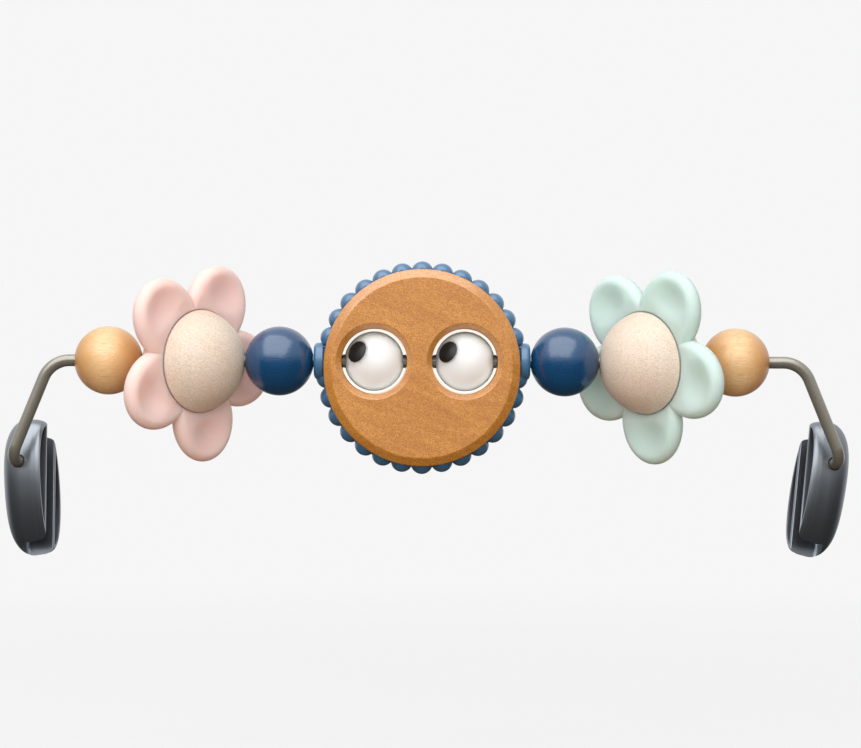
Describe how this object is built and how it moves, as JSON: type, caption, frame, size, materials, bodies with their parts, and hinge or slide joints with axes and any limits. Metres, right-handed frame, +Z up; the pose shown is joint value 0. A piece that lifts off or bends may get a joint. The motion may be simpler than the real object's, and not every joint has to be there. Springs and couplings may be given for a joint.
{
  "type": "bouncer toy bar",
  "caption": "Toy bar for a baby's bouncer: bent rod strung with wooden beads, turning flowers and a round face with rolling eyes, on two seat clips",
  "frame": {"origin": "Midway between the middles of the two clips as they hang straight, where the seat's side tubes hold the bar.", "axes": "+X runs along the rod from the left clip to the right one, the face and flowers look along -Y, +Z is up."},
  "size_m": [0.4278, 0.0769, 0.1489],
  "materials": {
    "rod_paint": "satin warm grey powder paint",
    "clip_plastic": "satin slate-grey moulded plastic",
    "maple": "lacquered pale maple",
    "navy_paint": "wood under glossy navy paint",
    "petal_pink": "soft matte pink plastic",
    "petal_mint": "soft matte mint plastic",
    "birch": "bare pale birch",
    "honey_wood": "lacquered honey-coloured wood",
    "core_blue": "matte mid-blue moulded plastic",
    "eye_white": "glossy white plastic",
    "pupil_black": "glossy black plastic"
  },
  "bodies": {
    "bar": {"bar_rod": "rod_paint"},
    "left_end_bead_body": {"left_end_bead": "maple"},
    "left_blue_bead_body": {"left_blue_bead": "navy_paint"},
    "left_flower": {"left_petals": "petal_pink", "left_flower_dome": "birch", "left_flower_back": "birch"},
    "right_end_bead_body": {"right_end_bead": "maple"},
    "right_blue_bead_body": {"right_blue_bead": "navy_paint"},
    "right_flower": {"right_petals": "petal_mint", "right_flower_dome": "birch", "right_flower_back": "birch"},
    "face": {"face_core": "core_blue", "face_front_plate": "honey_wood", "face_back_plate": "honey_wood", "left_eye_socket": "eye_white", "right_eye_socket": "eye_white"},
    "left_eye": {"left_eye_ball": "eye_white", "left_pupil": "pupil_black"},
    "right_eye": {"right_eye_ball": "eye_white", "right_pupil": "pupil_black"},
    "left_clip_body": {"left_clip": "clip_plastic"},
    "right_clip_body": {"right_clip": "clip_plastic"}
  },
  "joints": [
    {"name": "left_end_bead_spin", "type": "hinge", "parent": "bar", "child": "left_end_bead_body", "pos_m": [-0.15893, -0.02217, 0.06455], "axis": [1, 0, 0], "continuous": true},
    {"name": "left_blue_bead_spin", "type": "hinge", "parent": "bar", "child": "left_blue_bead_body", "pos_m": [-0.07361, -0.02217, 0.06455], "axis": [1, 0, 0], "continuous": true},
    {"name": "left_flower_spin", "type": "hinge", "parent": "bar", "child": "left_flower", "pos_m": [-0.11703, -0.02217, 0.06455], "axis": [1, 0, 0], "continuous": true},
    {"name": "right_end_bead_spin", "type": "hinge", "parent": "bar", "child": "right_end_bead_body", "pos_m": [0.15443, -0.02217, 0.06455], "axis": [1, 0, 0], "continuous": true},
    {"name": "right_blue_bead_spin", "type": "hinge", "parent": "bar", "child": "right_blue_bead_body", "pos_m": [0.0691, -0.02217, 0.06455], "axis": [1, 0, 0], "continuous": true},
    {"name": "right_flower_spin", "type": "hinge", "parent": "bar", "child": "right_flower", "pos_m": [0.11253, -0.02217, 0.06455], "axis": [1, 0, 0], "continuous": true},
    {"name": "face_spin", "type": "hinge", "parent": "bar", "child": "face", "pos_m": [-0.00225, -0.02217, 0.06455], "axis": [1, 0, 0], "continuous": true},
    {"name": "left_eye_roll", "type": "hinge", "parent": "bar", "child": "left_eye", "pos_m": [-0.026, -0.02217, 0.06455], "axis": [1, 0, 0], "continuous": true},
    {"name": "right_eye_roll", "type": "hinge", "parent": "bar", "child": "right_eye", "pos_m": [0.0191, -0.02217, 0.06455], "axis": [1, 0, 0], "continuous": true},
    {"name": "left_clip_swivel", "type": "hinge", "parent": "bar", "child": "left_clip_body", "pos_m": [-0.2057, -0.01449, 0.0141], "axis": [0.2541, 0.9482, -0.1908], "range_deg": [-21.1, 28.9]},
    {"name": "right_clip_swivel", "type": "hinge", "parent": "bar", "child": "right_clip_body", "pos_m": [0.2057, -0.01449, 0.0141], "axis": [-0.2541, 0.9482, -0.1908], "range_deg": [-35, 15]}
  ]
}
